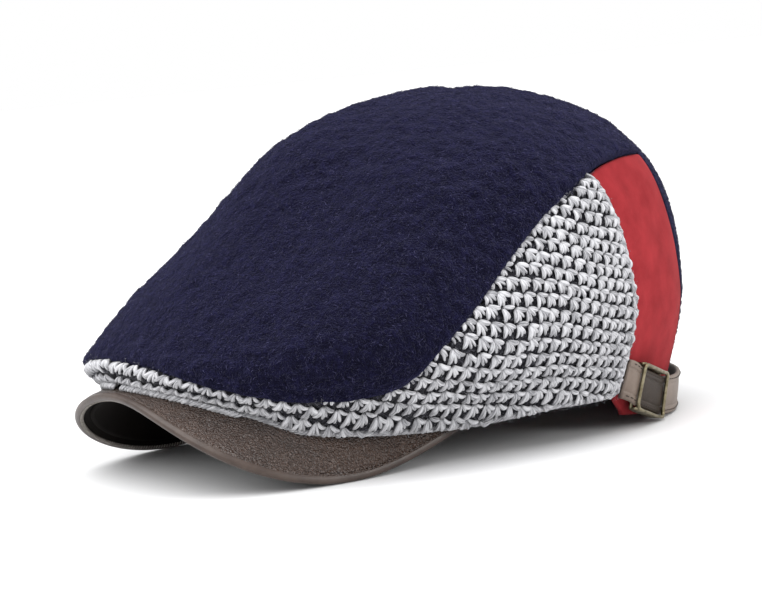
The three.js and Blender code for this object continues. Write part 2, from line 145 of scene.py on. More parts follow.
def peak_front(turn):
    a = np.radians(turn)
    across = np.sign(a) * np.abs(np.sin(a)) ** peak["fullness"]
    forward = np.abs(np.cos(a)) ** peak["fullness"]
    past_lobe = 1 - np.minimum(forward / peak["lobe"], 1)
    drawn_in = past_lobe ** 2 * math.radians(peak["sweep"] - peak["corner_sweep"])
    bend = np.arcsin(math.sin(math.radians(peak["sweep"])) * across) - np.sign(a) * drawn_in
    return bend, -peak["corner"] - (peak["reach"] - peak["corner"]) * forward


def peak_rear(turn):
    a = np.radians(turn)
    bend = np.arcsin(math.sin(math.radians(peak["back_sweep"])) * np.sin(a))
    return bend, -peak["corner"] - (peak["back"] - peak["corner"]) * np.cos(a)


def peak_place(turn, share, past):
    limited = np.clip(turn, -89.5, 89.5)
    bend0, y0 = peak_front(limited - 0.5)
    bend1, y1 = peak_front(limited + 0.5)
    sideways, lengthwise = (bend1 - bend0) * peak["bend"], y1 - y0
    length = np.hypot(sideways, lengthwise)
    front_bend, front_y = peak_front(turn)
    rear_bend, rear_y = peak_rear(turn)
    bend = rear_bend + (front_bend - rear_bend) * share + past * lengthwise / length / peak["bend"]
    return bend, rear_y + (front_y - rear_y) * share - past * sideways / length


_bend, _y = peak_place(np.linspace(-90, 90, 41), 1, peak["wrap"])
peak_lift = -peak_point(_bend, _y, peak["wall"] / 2)[..., 2].min()


def seat_height(x, y):
    on_peak = (y <= -peak["corner"]) & (np.abs(x) <= peak["bend"]
                                        * math.sin(math.radians(peak["sweep"])))
    bend = np.arcsin(np.clip(x / peak["bend"], -0.98, 0.98))
    return np.where(on_peak, peak_point(bend, y, 0.0)[..., 2] + seat_gap / np.cos(bend), -1e9)


def hem_height(angle):
    a = np.radians(angle)
    radius = section("hemReach", angle) * reach(angle) + knit_proud
    free = section("hemRise", angle) * crown["height"]
    seated = seat_height(radius * np.sin(a), -radius * np.cos(a))
    return np.maximum(np.maximum(free, seated), 0)


def surface(angle, level):
    angle, level = np.broadcast_arrays(np.asarray(angle, float), np.asarray(level, float))
    names = ("hem", "wide", "shoulder", "top")
    radii = [section(f"{n}Reach", angle) * reach(angle) for n in names]
    heights = [section(f"{n}Rise", angle) * crown["height"] for n in names]
    heights[0] = hem_height(angle)
    opposite = wrap_angle(angle + 180)
    radii = [2 * radii[0] - radii[1], *radii, 0 * angle,
             -section("topReach", opposite) * reach(opposite)]
    heights = [2 * heights[0] - heights[1], *heights, 0 * angle + crown["height"],
               section("topRise", opposite) * crown["height"]]
    radii, heights = np.stack(radii), np.stack(heights)
    at = np.clip(level, 0, 1) * 4
    i = np.minimum(at.astype(int), 3)

    def pick(table, k):
        return np.take_along_axis(table, (i + k)[None], 0)[0]
    radius = spline(*(pick(radii, k) for k in range(4)), at - i)
    height = spline(*(pick(heights, k) for k in range(4)), at - i)
    a = np.radians(angle)
    return np.stack([radius * np.sin(a), -radius * np.cos(a), height], -1)


def unit(vectors):
    return vectors / np.maximum(np.linalg.norm(vectors, axis=-1, keepdims=True), 1e-9)


def run_along(line):
    """How far each point of a line is along it."""
    return np.concatenate([[0], np.cumsum(np.linalg.norm(np.diff(line, axis=0), axis=1))])


def line_at(at, run, line):
    return np.stack([np.interp(at, run, line[:, k]) for k in range(3)], -1)


def unit_grid(rows, columns):
    return np.meshgrid(np.linspace(0, 1, rows), np.linspace(0, 1, columns), indexing="ij")


def outward(angle, level):
    angle, level = np.broadcast_arrays(np.asarray(angle, float), np.asarray(level, float))
    up = surface(angle, np.minimum(level + .004, .996)) - surface(angle,
                                                                  np.maximum(level - .004, 0))
    around = surface(angle + .5, level) - surface(angle - .5, level)
    normal = np.cross(around, up)
    flat = np.linalg.norm(around, axis=-1, keepdims=True) < 1e-6
    return unit(np.where(flat, [0, 0, 1.0], normal))


def to_disc(angle, level):
    a = np.radians(angle)
    return np.stack([(1 - level) * np.sin(a), -(1 - level) * np.cos(a)], -1)


def from_disc(place):
    length = np.linalg.norm(place, axis=-1)
    return np.degrees(np.arctan2(place[..., 0], -place[..., 1])), np.clip(1 - length, 0, 1)


def half_level(angle, level):
    length = np.linalg.norm(surface(angle, level + .01) - surface(angle, level - .01), axis=-1)
    return seam_gap * .01 / length


half_angle = math.degrees(seam_gap / 2 / crown["side"])


# Lattice noise.
lattice = rng.random((64, 64, 64))


def noise(points, size, shift=0.0):
    """Smooth noise from 0 to 1 at points, with lumps of about that size."""
    p = np.asarray(points) / size + 1000.0 + shift
    cell = np.floor(p).astype(int)
    t = p - cell
    t = t * t * (3 - 2 * t)
    value = 0.0
    for corner in np.ndindex(2, 2, 2):
        weight = np.prod(np.where(corner, t, 1 - t), axis=-1)
        i = (cell + corner) % 64
        value = value + weight * lattice[i[..., 0], i[..., 1], i[..., 2]]
    return value


# Meshes.
def to_frame(points):
    return (np.asarray(points, float) + [0, shift_y, 0]) * MM


def mesh_object(name, points, faces, material, slot, replaces=(), smooth=True, values=None):
    """A mesh from points in millimetres and a list of face arrays."""
    mesh = bpy.data.meshes.new(name)
    points = to_frame(points)
    mesh.vertices.add(len(points))
    mesh.vertices.foreach_set("co", points.ravel())
    blocks = faces if isinstance(faces, list) else [faces]
    corners = np.concatenate([b.ravel() for b in blocks]).astype(np.int32)
    totals = np.concatenate([np.full(len(b), b.shape[1]) for b in blocks]).astype(np.int32)
    mesh.loops.add(len(corners))
    mesh.loops.foreach_set("vertex_index", corners)
    mesh.polygons.add(len(totals))
    mesh.polygons.foreach_set("loop_start", np.concatenate([[0],
                                                            np.cumsum(totals)[:-1]]).astype(np.int32))
    mesh.polygons.foreach_set("loop_total", totals)
    mesh.polygons.foreach_set("use_smooth", np.full(len(totals), smooth))
    for key, value in (values or {}).items():
        value = np.asarray(value, np.float32)
        kind = "FLOAT" if value.ndim == 1 else "FLOAT_VECTOR"
        layer = mesh.attributes.new(key, kind, "POINT")
        layer.data.foreach_set("value" if kind == "FLOAT" else "vector", value.ravel())
    mesh.update(calc_edges=True)
    mesh.validate()
    piece = bpy.data.objects.new(name, mesh)
    bpy.context.scene.collection.objects.link(piece)
    mesh.materials.append(material)
    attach(piece, "root")
    if replaces:
        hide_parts(*replaces)
    return piece


def quads(rows, columns, offset=0, close_rows=False, close_columns=False):
    i = np.arange(rows if close_rows else rows - 1)[:, None]
    k = np.arange(columns if close_columns else columns - 1)[None, :]
    i1, k1 = (i + 1) % rows, (k + 1) % columns
    corners = np.stack(np.broadcast_arrays(i * columns + k, i * columns + k1,
                                           i1 * columns + k1, i1 * columns + k), -1)
    return corners.reshape(-1, 4) + offset


def shell(outer, inner, close=False):
    """Faces and points of a wall between two grids of the same shape."""
    rows, columns = outer.shape[:2]
    count = rows * columns
    points = np.concatenate([outer.reshape(-1, 3), inner.reshape(-1, 3)])
    faces = [quads(rows, columns), quads(rows, columns, count)[:, ::-1]]
    grid = np.arange(count).reshape(rows, columns)
    for line in (grid[0, ::-1], grid[:, 0], grid[-1], grid[::-1, -1]):
        faces.append(np.stack([line[:-1], line[1:], line[1:] + count, line[:-1] + count], -1))
    return points, faces


def oriented(points, faces):
    """The faces, turned to point out if they point in."""
    total = 0.0
    for block in faces:
        p = points[block]
        for k in range(1, block.shape[1] - 1):
            total += np.einsum("ij,ij->i", p[:, 0], np.cross(p[:, k], p[:, k + 1])).sum()
    return faces if total > 0 else [b[:, ::-1] for b in faces]


def strands(centres, radii, normals, sides=5, flat=1.0):
    """Closed tapering strands. centres is (n, k, 3), radii (n, k), normals (n, 3)."""
    n, k = centres.shape[:2]
    tangent = unit(np.gradient(centres, axis=1))
    side = unit(np.cross(tangent, normals[:, None, :]))
    up = np.cross(side, tangent)
    turn = 2 * np.pi * np.arange(sides) / sides
    ring = (np.cos(turn)[:, None] * side[:, 1:-1, None] + flat * np.sin(turn)[:, None]
            * up[:, 1:-1, None])
    body = centres[:, 1:-1, None] + radii[:, 1:-1, None, None] * ring
    rings = k - 2
    points = np.concatenate([centres[:, :1], body.reshape(n, -1, 3), centres[:, -1:]], 1)
    per = points.shape[1]
    each = np.arange(sides)
    nxt = (each + 1) % sides
    start = np.stack([np.zeros(sides, int), 1 + nxt, 1 + each], -1)
    end_ring = 1 + (rings - 1) * sides
    end = np.stack([np.full(sides, per - 1), end_ring + each, end_ring + nxt], -1)
    tris = np.concatenate([start, end])
    offsets = (np.arange(n) * per)[:, None, None]
    blocks = [(tris[None] + offsets).reshape(-1, 3)]
    if rings > 1:
        walls = []
        for r in range(rings - 1):
            a = 1 + r * sides
            walls.append(np.stack([a + each, a + nxt, a + sides + nxt, a + sides + each], -1))
        blocks.append((np.concatenate(walls)[None] + offsets).reshape(-1, 4))
    run = np.concatenate([[0], np.repeat(np.linspace(0, 1, k)[1:-1], sides), [1]])
    angle = np.concatenate([[0], np.tile(each / sides, rings), [0]])
    luck = rng.random(n)
    coords = np.stack([np.broadcast_to(run, (n, per)), np.broadcast_to(angle, (n, per)),
                       np.broadcast_to(luck[:, None], (n, per))], -1).reshape(-1, 3)
    return points.reshape(-1, 3), blocks, coords


def tube(grid):
    """Points and faces of a closed tube, from its rings, with both ends capped."""
    rows, columns = grid.shape[:2]
    points = grid.reshape(-1, 3)
    body = quads(rows, columns, close_columns=True)
    faces = oriented(points, [body])[0]
    start = np.arange(columns)[None]
    end = (np.arange(columns) + (rows - 1) * columns)[None, ::-1]
    if np.array_equal(faces, body):
        start, end = start[:, ::-1], end[:, ::-1]
    return points, [faces, start, end]


def join(parts):
    """Several (points, faces, coords) as one."""
    points, blocks, coords, offset = [], [], [], 0
    for p, f, c in parts:
        points.append(p)
        coords.append(c)
        blocks += [b + offset for b in f]
        offset += len(p)
    return np.concatenate(points), blocks, np.concatenate(coords)


# Materials.
class Look:
    """A material and the nodes that feed its shader."""

    def __init__(self, name, roughness, sheen=0.0, sheen_tint=(1, 1, 1), specular=.5,
                 metallic=0.0):
        self.material = bpy.data.materials.new(name)
        self.material.use_nodes = True
        self.nodes, self.links = self.material.node_tree.nodes, self.material.node_tree.links
        self.shader = self.nodes["Principled BSDF"]
        self.shader.inputs["Roughness"].default_value = roughness
        self.shader.inputs["Metallic"].default_value = metallic
        self.shader.inputs["Sheen Weight"].default_value = sheen
        self.shader.inputs["Sheen Tint"].default_value = (*sheen_tint, 1)
        self.shader.inputs["Specular IOR Level"].default_value = specular

    def place(self):
        return self.nodes.new("ShaderNodeTexCoord").outputs["Object"]

    def strand(self):
        node = self.nodes.new("ShaderNodeAttribute")
        node.attribute_name = "strand"
        return node.outputs["Vector"]

    def luck(self, strand):
        node = self.nodes.new("ShaderNodeSeparateXYZ")
        self.links.new(strand, node.inputs[0])
        return node.outputs["Z"]

    def noise(self, scale, detail, vector, rough=.5, output="Fac"):
        node = self.nodes.new("ShaderNodeTexNoise")
        node.inputs["Scale"].default_value = scale
        node.inputs["Detail"].default_value = detail
        node.inputs["Roughness"].default_value = rough
        self.links.new(vector, node.inputs["Vector"])
        return node.outputs[output]

    def sum(self, kind, operation, *values):
        """A node of the Math or VectorMath kind, fed by sockets and plain values."""
        node = self.nodes.new("ShaderNode" + kind)
        node.operation = operation
        for socket, value in zip(node.inputs, values):
            if isinstance(value, bpy.types.NodeSocket):
                self.links.new(value, socket)
            else:
                socket.default_value = value
        return node.outputs[0]

    def ramp(self, source, *stops):
        node = self.nodes.new("ShaderNodeValToRGB")
        self.links.new(source, node.inputs["Fac"])
        elements = node.color_ramp.elements
        for k, (at, colour) in enumerate(stops):
            element = elements[k] if k < 2 else elements.new(at)
            element.position = at
            element.color = (*colour, 1)
        return node.outputs["Color"]

    def paint(self, colour):
        self.links.new(colour, self.shader.inputs["Base Color"])

    def bump(self, height, strength, distance, under=None):
        node = self.nodes.new("ShaderNodeBump")
        node.inputs["Strength"].default_value = strength
        node.inputs["Distance"].default_value = distance
        self.links.new(height, node.inputs["Height"])
        if under is not None:
            self.links.new(under, node.inputs["Normal"])
        self.links.new(node.outputs["Normal"], self.shader.inputs["Normal"])
        return node.outputs["Normal"]


# The lamps and the sky together are about twice as bright as white light on white paper.
studio_share = 0.52


def linear(red, green, blue):
    """The linear colour that the studio shows as this sRGB colour."""
    values = []
    for v in (red, green, blue):
        v /= 255
        values.append(studio_share * (v / 12.92 if v <= 0.04045 else ((v + 0.055) / 1.055) ** 2.4))
    return tuple(values)


def wool_material():
    look = Look("navy_wool", .95, .155, (.34, .34, .74), .03)
    place = look.place()
    lumps, fine = look.noise(300, 4, place, .6), look.noise(1300, 3, place, .7)
    # The share keeps the sum of both near the middle of the ramp.
    both = look.sum("Math", "MULTIPLY", look.sum("Math", "MULTIPLY_ADD", fine, 1.2, lumps), .4545)
    look.paint(look.ramp(both, (.36, linear(2, 2, 13)), (.66, linear(31, 30, 64)),
                         (.5, linear(9, 8, 29))))
    look.bump(fine, 1.0, .0012, look.bump(lumps, 1.0, .002))
    return look.material


def nap_material(name, dark, light, sheen):
    look = Look(name, .9, sheen, (.6, .6, .9), .1)
    between = tuple(.7 * a + .3 * b for a, b in zip(dark, light))
    look.paint(look.ramp(look.luck(look.strand()), (0, dark), (1, light), (.8, between)))
    return look.material


def strand_material():
    look = Look("marled_strands", .85, .25, specular=.25)
    coords = look.strand()
    streaks = look.noise(1.0, 4, look.sum("VectorMath", "MULTIPLY", coords, (1.6, 9.0, 40.0)), .6)
    blend = look.sum("Math", "MULTIPLY_ADD", look.luck(coords), .16, streaks)
    look.paint(look.ramp(blend, (.34, (.09, .09, .1)), (.68, (.5, .5, .52)),
                         (.5, (.25, .25, .265))))
    look.bump(streaks, .7, .0006)
    return look.material


def thread_material(name, dark, light):
    look = Look(name, .7, specular=.3)
    twist = look.noise(1.0, 2, look.sum("VectorMath", "MULTIPLY", look.strand(), (6.0, 4.0, 30.0)))
    look.paint(look.ramp(twist, (.35, dark), (.65, light)))
    look.bump(twist, .5, .0003)
    return look.material


def ground_material():
    look = Look("knit_ground", .95, .1, specular=.1)
    fine = look.noise(900, 4, look.place(), .6)
    look.paint(look.ramp(fine, (.4, linear(24, 23, 30)), (.75, linear(92, 91, 100))))
    look.bump(fine, .8, .001)
    return look.material


def felt_material():
    look = Look("red_felt", .9, .04, (1, .4, .4), .06)
    place = look.place()
    cloud = look.noise(70, 4, place, .6)
    fine = look.noise(1500, 3, look.sum("VectorMath", "MULTIPLY", place, (1, 1, .35)), .7)
    look.paint(look.ramp(cloud, (.3, linear(160, 44, 50)), (.72, linear(193, 61, 67))))
    look.bump(fine, .45, .0004)
    return look.material


def pebbled_material(dark, light):
    look = Look("pebbled_leather", .27, specular=.75)
    grain = 1500
    place = look.place()
    wobble = look.noise(grain * .6, 2, place, output="Color")
    cells = look.nodes.new("ShaderNodeTexVoronoi")
    cells.feature = "SMOOTH_F1"
    cells.inputs["Scale"].default_value = grain
    cells.inputs["Smoothness"].default_value = .4
    warped = look.sum("VectorMath", "MULTIPLY_ADD", wobble, (.0012, .0012, .0012), place)
    look.links.new(warped, cells.inputs["Vector"])
    pit = cells.outputs["Distance"]
    # The hollows between the pebbles are darkened in the colour: painted shade.
    painted_hollow_shade = look.nodes.new("ShaderNodeMix")
    painted_hollow_shade.data_type = "RGBA"
    painted_hollow_shade.blend_type = "MULTIPLY"
    painted_hollow_shade.inputs["Factor"].default_value = .55
    cloud = look.ramp(look.noise(45, 5, place, .65), (.3, dark), (.72, light))
    look.links.new(cloud, painted_hollow_shade.inputs["A"])
    look.links.new(look.ramp(pit, (.25, (1, 1, 1)), (.75, (.35, .33, .32))), painted_hollow_shade.inputs["B"])
    look.paint(painted_hollow_shade.outputs["Result"])
    look.bump(look.sum("Math", "SUBTRACT", 1, pit), 1.0, .0012)
    return look.material


def smooth_leather_material(name, dark, light, roughness, specular=.5):
    look = Look(name, roughness, specular=specular)
    place = look.place()
    look.paint(look.ramp(look.noise(120, 5, place, .65), (.3, dark), (.72, light)))
    look.bump(look.noise(2600, 3, place, .6), .3, .0003)
    return look.material


def brass_material():
    look = Look("aged_brass", .38, metallic=1.0)
    wear = look.noise(380, 5, look.place(), .6)
    look.paint(look.ramp(wear, (.32, linear(118, 106, 76)), (.7, linear(206, 196, 164))))
    look.bump(wear, .25, .0003)
    return look.material


navy = wool_material()
navy_nap = nap_material("navy_nap", linear(8, 7, 24), linear(100, 98, 144), .1)
light_strands = strand_material()
dark_ground = ground_material()
knit_fuzz = nap_material("knit_fuzz", linear(110, 110, 118), linear(226, 226, 234), .1)
red = felt_material()
pebbled = pebbled_material(linear(70, 51, 42), linear(112, 87, 74))
rim_leather = smooth_leather_material("rim_leather", linear(66, 52, 45), linear(98, 82, 74), .35,
                                      .35)
# Dark lining cloth, made darker still for the underside of the peak: partly its own colour, partly painted shade.
under_cloth_and_shade = smooth_leather_material("under_cloth_and_shade", linear(16, 12, 10), linear(26, 20, 17), .9,
                                      .1)
taupe = smooth_leather_material("taupe_leather", linear(130, 112, 100), linear(158, 140, 126), .5)
# The same taupe leather made darker, for the strap where it lies under the buckle frame: painted shade.
taupe_painted_shade = smooth_leather_material("taupe_painted_shade", linear(56, 46, 38), linear(76, 64, 54), .5, .15)
brass = brass_material()
pale_thread = thread_material("pale_thread", linear(150, 142, 134), linear(226, 220, 212))
dark_thread = thread_material("dark_thread", linear(52, 44, 38), linear(84, 74, 66))


# Crown top.
top_corner = 38.0
junction, strip_top = top_seam[-1], felt_top[-1]


def disc_above(table, angle, lap=0.0):
    level = along(table, np.abs(angle))
    return to_disc(angle, level + half_level(angle, level) * (1 - 2 * lap / seam_gap))


def point_on_side(share, lap=0.0):
    share = np.asarray(share, float)
    t = np.clip(share / .475, 0, 1)
    first = disc_above(top_seam, top_corner + (junction[0] - top_corner) * t,
                       lap * np.clip((1 - t) * 8, 0, 1))
    t = np.clip((share - .475) / .175, 0, 1)
    second = disc_above(felt_top, junction[0] + (strip_top[0] + half_angle - junction[0]) * t)
    t = np.clip((share - .65) / .35, 0, 1)
    top = strip_top[1] + float(half_level(strip_top[0], strip_top[1]))
    level = top * (1 - t)
    third = to_disc(along(strip_edge, level) + half_angle, level)
    return np.where((share <= .475)[..., None], first, np.where((share <= .65)[..., None], second,
                                                                third))


def top_place(lengthwise, across, lap=0.0):
    lengthwise, across = np.broadcast_arrays(lengthwise, across)
    right = point_on_side(lengthwise, lap)
    place = np.stack([(2 * across - 1) * right[..., 0], right[..., 1]], -1)
    front = disc_above(top_seam, (2 * across - 1) * top_corner, lap)
    from_back = 180 - strip_edge[0][1] - half_angle
    hem = to_disc(180 + from_back * (1 - 2 * across), np.zeros_like(across))
    front_end, hem_end = point_on_side(0.0, lap), point_on_side(1.0)
    front_bow = np.stack([front[..., 0] - (2 * across - 1) * front_end[0],
                          front[..., 1] - front_end[1]], -1)
    hem_bow = np.stack([hem[..., 0] - (2 * across - 1) * hem_end[0], hem[..., 1] - hem_end[1]], -1)
    return from_disc(place + front_bow * (1 - lengthwise)[..., None] + hem_bow
                     * lengthwise[..., None])


def edge_distance(points):
    """How far each point of a grid is from the grid's nearest edge, along the grid."""
    down = np.linalg.norm(np.diff(points, axis=0), axis=-1)
    down = np.concatenate([np.zeros((1, points.shape[1])), np.cumsum(down, 0)])
    over = np.linalg.norm(np.diff(points, axis=1), axis=-1)
    over = np.concatenate([np.zeros((points.shape[0], 1)), np.cumsum(over, 1)], 1)
    return np.minimum(np.minimum(down, down[-1:] - down), np.minimum(over, over[:, -1:] - over))


def rolled(distance, width, depth):
    """The drop of a soft edge that rolls over within a width."""
    t = 1 - np.clip(distance / width, 0, 1)
    return depth * (1 - np.sqrt(np.clip(1 - t * t, 0, 1)))


u, v = unit_grid(250, 150)
at_hem = u > 1 - 1e-9


def top_grid(lap):
    angle, level = top_place(u, v, lap)
    level = np.where(at_hem, 0, level)
    normal = outward(angle, level)
    normal[at_hem] = unit(normal[at_hem] * [1, 1, 0])
    return angle, level, surface(angle, level), normal


_, _, base, normal = top_grid(0.0)
inner = base - normal * wool_wall
inner[at_hem, 2] = 0.0
# The outer face laps over the knit.
angle, level, base, normal = top_grid(1.1)
distance = edge_distance(base)
puff = 1.2 * np.exp(-((distance - 4) / 5) ** 2)
lumps = (noise(base, 4.4) - .5) * 1.4 + (noise(base, 2.3, 7.3)
                                         - .5) * 1.1 + (noise(base, 1.4, 3.1) - .5) * .6
lumps += (noise(base, 22, 5.5) - .5) * 1.6
calm = np.clip(distance / 3, .3, 1)
lift = puff * np.clip(distance / 1.5, 0, 1) + lumps * calm + .5 - rolled(distance, 2.6, 1.5)
# The centre back strip lies flush with the felt beside it.
flush = np.clip((np.abs(angle) - 129) / 7, 0, 1) * np.clip((.6 - level) / .08, 0, 1)
lift = lift * (1 - flush) + flush * (felt_proud + lumps * .2 - rolled(distance, 1.5, .6))
wool_outer, wool_normal = base + normal * lift[..., None], normal
wool_outer[at_hem, 2] = 0.0


def nap(name, count, base_points, base_normals, lengths, radius, fibre, slot, curl, rise,
        chosen=None):
    """Short curled fibres that lie on a surface."""
    flat_points = base_points.reshape(-1, 3)
    flat_normals = base_normals.reshape(-1, 3)
    area = np.linalg.norm(np.cross(np.gradient(base_points, axis=0),
                                   np.gradient(base_points, axis=1)), axis=-1)
    weight = area.ravel() if chosen is None else area.ravel() * chosen.ravel()
    pick = rng.choice(len(flat_points), count, p=weight / weight.sum())
    n = unit(flat_normals[pick])
    away = rng.normal(size=(count, 3))
    tangent = unit(away - n * np.einsum("ij,ij->i", away, n)[:, None])
    side = np.cross(n, tangent)
    start = flat_points[pick] + (tangent * rng.uniform(-.6, .6, (count, 1)) + side
                                 * rng.uniform(-.6, .6, (count, 1)))
    length = rng.uniform(*lengths, count)
    bend = rng.normal(size=count) * curl
    segments = 3
    t = np.linspace(0, 1, segments)
    highest = rng.uniform(.4, 1, count) * rise
    heading = bend[:, None] * t
    path_t = np.cumsum(np.cos(heading), 1) - np.cos(heading)[:, :1]
    path_s = np.cumsum(np.sin(heading), 1) - np.sin(heading)[:, :1]
    step = length / (segments - 1)
    hop = np.sin(np.pi * (.15 + .75 * t))[None] * highest[:, None] - .25
    centres = (start[:, None] + tangent[:, None] * (path_t * step[:, None])[..., None]
               + side[:, None] * (path_s * step[:, None])[..., None] + n[:, None] * hop[..., None])
    centres[..., 2] = np.maximum(centres[..., 2], radius)
    radii = np.full((count, segments), radius)
    points, faces, coords = strands(centres, radii, n, sides=3)
    return mesh_object(name, points, faces, fibre, slot, values={"strand": coords})


# Knitted sides.
def knit_place(side, lengthwise, up):
    top_angle = half_angle + (junction[0] - 2 * half_angle) * lengthwise
    seam_level = along(top_seam, top_angle)
    top_level = seam_level - half_level(top_angle, seam_level)
    rear_level = knit_hem[-1][1] + (junction[1] - knit_hem[-1][1]) * up
    place = half_angle + (along(knit_rear, rear_level) - 2 * half_angle) * lengthwise
    hem_level = along(knit_hem, place)
    return side * place, hem_level + (top_level - hem_level) * up


def knit_top_level(angle):
    seam_level = along(top_seam, angle)
    return np.where(angle <= junction[0], seam_level - half_level(angle, seam_level), junction[1])


# Each star fans down and back from its eye.
star_width, star_height = 5.7, 5.75
petal_fan = np.radians([-44, -12, 9, 46])
petal_lengths = np.array([5.5, 5.1, 4.9, 5.2])
petal_widths = np.array([.82, .64, .62, .82])
fan_lean = ((0, 0), (20, 3), (33, 26), (50, 36), (112, 36))
fabric_step = 1.2
# The rows are evenly spaced out from this distance along the hem.
fabric_held = 195.0
# By the distance along the hem from the front: how far apart the stars lie beside star_width,
# how tall they are beside star_height, and how steeply the rows sink.
fabric_ease = ((-20, .95), (50, .97), (78, .92), (108, .94), (120, 1.0), (148, 1.0), (165, .96),
               (188, .88), (230, .84))
fabric_low_pull = ((-20, .95), (45, 1.0), (75, 1.55), (112, 1.7), (140, 1.6), (170, 1.4),
                   (200, 1.2), (230, 1.1))
fabric_pull = ((-20, .95), (45, 1.0), (75, 1.2), (112, 1.15), (150, 1.0), (170, .95), (185, .9),
               (200, .87), (230, .85))
low_rows = 8.0
fabric_sink = ((-20, -.08), (15, -.03), (50, .02), (80, .16), (105, .16), (118, .05), (132, .08),
               (145, .2), (230, .2))
column_run = np.arange(-60.0, 330.0)
column_place = np.cumsum(along(fabric_ease, column_run))
column_place -= np.interp(0, column_run, column_place)
row_fall = np.cumsum(along(fabric_sink, column_run) * (column_run > 0))


def march(angle, level, step):
    """Move a row of points up the crown, square to the row."""
    across = (surface(angle + .2, level) - surface(angle - .2, level)) / .4
    low, high = np.maximum(level - .003, 0), level + .003
    upward = (surface(angle, high) - surface(angle, low)) / (high - low)[:, None]
    row = unit(np.gradient(surface(angle, level), axis=0))
    normal = unit(np.cross(across, upward))
    way = unit(np.cross(normal, row))
    way *= np.sign(np.einsum("ij,ij->i", way, upward))[:, None]
    aa, uu = np.einsum("ij,ij->i", across, across), np.einsum("ij,ij->i", upward, upward)
    au = np.einsum("ij,ij->i", across, upward)
    aw, uw = np.einsum("ij,ij->i", across, way), np.einsum("ij,ij->i", upward, way)
    spread = aa * uu - au * au
    return angle + step * (aw * uu - uw * au) / spread, level + step * (uw * aa - aw * au) / spread


def fabric_map():
    """The left side's angle and level by the distance along its hem and the distance up."""
    angle = np.linspace(-16, 126, 568)
    level = np.where(angle < 0, 0, along(knit_hem, np.clip(angle, 0, 111)))
    line = surface(angle, level)
    run = run_along(line)
    run -= np.interp(0, angle, run)
    even = np.arange(run[0], run[-1], fabric_step)
    held = np.argmin(np.abs(run - fabric_held))
    soft = np.ones(9) / 9
    lines = []
    for _ in range(102):
        line = surface(angle, level)
        row = run_along(line)
        row += run[held] - row[held]
        lines.append(np.stack([np.interp(even, row, angle), np.interp(even, row, level)], -1))
        angle, level = march(angle, level, fabric_step)
        level = np.clip(level, 0, .7)
        angle[4:-4] = np.convolve(angle, soft, "valid")
        level[4:-4] = np.convolve(level, soft, "valid")
    return even[0], np.stack(lines, 1)


fabric_start, fabric = fabric_map()


def fabric_place(p, q):
    """The angle and level of a place in the rows of stars, p along them and q across them."""
    s = np.interp(p, column_run, column_place)
    q = q - np.interp(s, column_run, row_fall)
    h = np.minimum(q, low_rows) * along(fabric_low_pull, s) + np.maximum(q - low_rows,
                                                                         0) * along(fabric_pull, s)
    i = np.clip((s - fabric_start) / fabric_step, 0, fabric.shape[0] - 1.001)
    k = np.clip(h / fabric_step, 0, fabric.shape[1] - 1.001)
    i0, k0 = i.astype(int), k.astype(int)
    ti, tk = (i - i0)[..., None], (k - k0)[..., None]
    near = fabric[i0, k0] * (1 - tk) + fabric[i0, k0 + 1] * tk
    far = fabric[i0 + 1, k0] * (1 - tk) + fabric[i0 + 1, k0 + 1] * tk
    place = near * (1 - ti) + far * ti
    return place[..., 0], place[..., 1], h


def star_strands(side):
    """The petals of every star on one side."""
    i, k = (m.ravel() for m in np.meshgrid(np.arange(-3, 54), np.arange(0, 44), indexing="ij"))
    p = (i + .04 * rng.normal(size=i.shape)) * star_width
    q = (k + .2 + .04 * rng.normal(size=k.shape)) * star_height
    eye_angle, eye_level, h = fabric_place(p, q)
    keep = (h > 1.2) & (h < 122) & (eye_angle < 116) & (eye_level < knit_top_level(eye_angle)
                                                        + .05)
    p, q, eye_angle = p[keep, None], q[keep, None], eye_angle[keep]
    count = len(p)
    swollen = np.sqrt(np.clip(along(fabric_low_pull, np.interp(p, column_run, column_place)), .85,
                              1.3))
    t = np.linspace(0, 1, 8)
    parts = []
    for fan, size, width in zip(petal_fan, petal_lengths, petal_widths):
        lean = (np.radians(along(fan_lean, np.maximum(eye_angle, 0))) + fan
                + rng.normal(size=count) * .08)[:, None]
        away = .45 + t * size * (1 + .06 * rng.normal(size=(count, 1)))
        bow = (-.35 * np.sign(fan) * (abs(fan) > .5) + rng.normal(size=(count, 1))
               * .2) * np.sin(np.pi * t)
        place_p = p + away * np.sin(lean) + bow * np.cos(lean)
        place_q = q - away * np.cos(lean) + bow * np.sin(lean)
        angle, level, h = fabric_place(place_p, place_q)
        top = knit_top_level(angle) + .004
        rear = along(knit_rear, level) - .7
        keep = ((h < .7).mean(1) < .75) & ((level > top).mean(1) < .6)
        keep &= ((angle > rear).mean(1) < .7) & ((angle < .4).mean(1) < .78)
        level = np.where(h < .7, np.maximum(level, along(knit_hem, np.clip(angle, 0, 111))
                                            + .006), level)
        angle, level = np.clip(angle, .5, rear)[keep], np.minimum(level, top)[keep]
        normal = outward(side * angle, level)
        # The petals that reach the wool go under its edge.
        tucked = np.clip((level - top[keep] + .012) / .012, 0, 1) * 1.8
        out = knit_proud - 1.1 + 1.75 * np.sin(np.pi * (.1 + .82 * t)) ** .8
        centres = surface(side * angle, level) + normal * (out[None] - tucked)[..., None]
        swell = np.sin(np.pi * (.08 + .86 * t)) ** .65
        thick = width * swollen[keep] * (1 + .1 * rng.normal(size=(len(angle), 1))) * swell
        parts.append(strands(centres, thick, normal[:, 4], sides=8, flat=.9))
    return parts


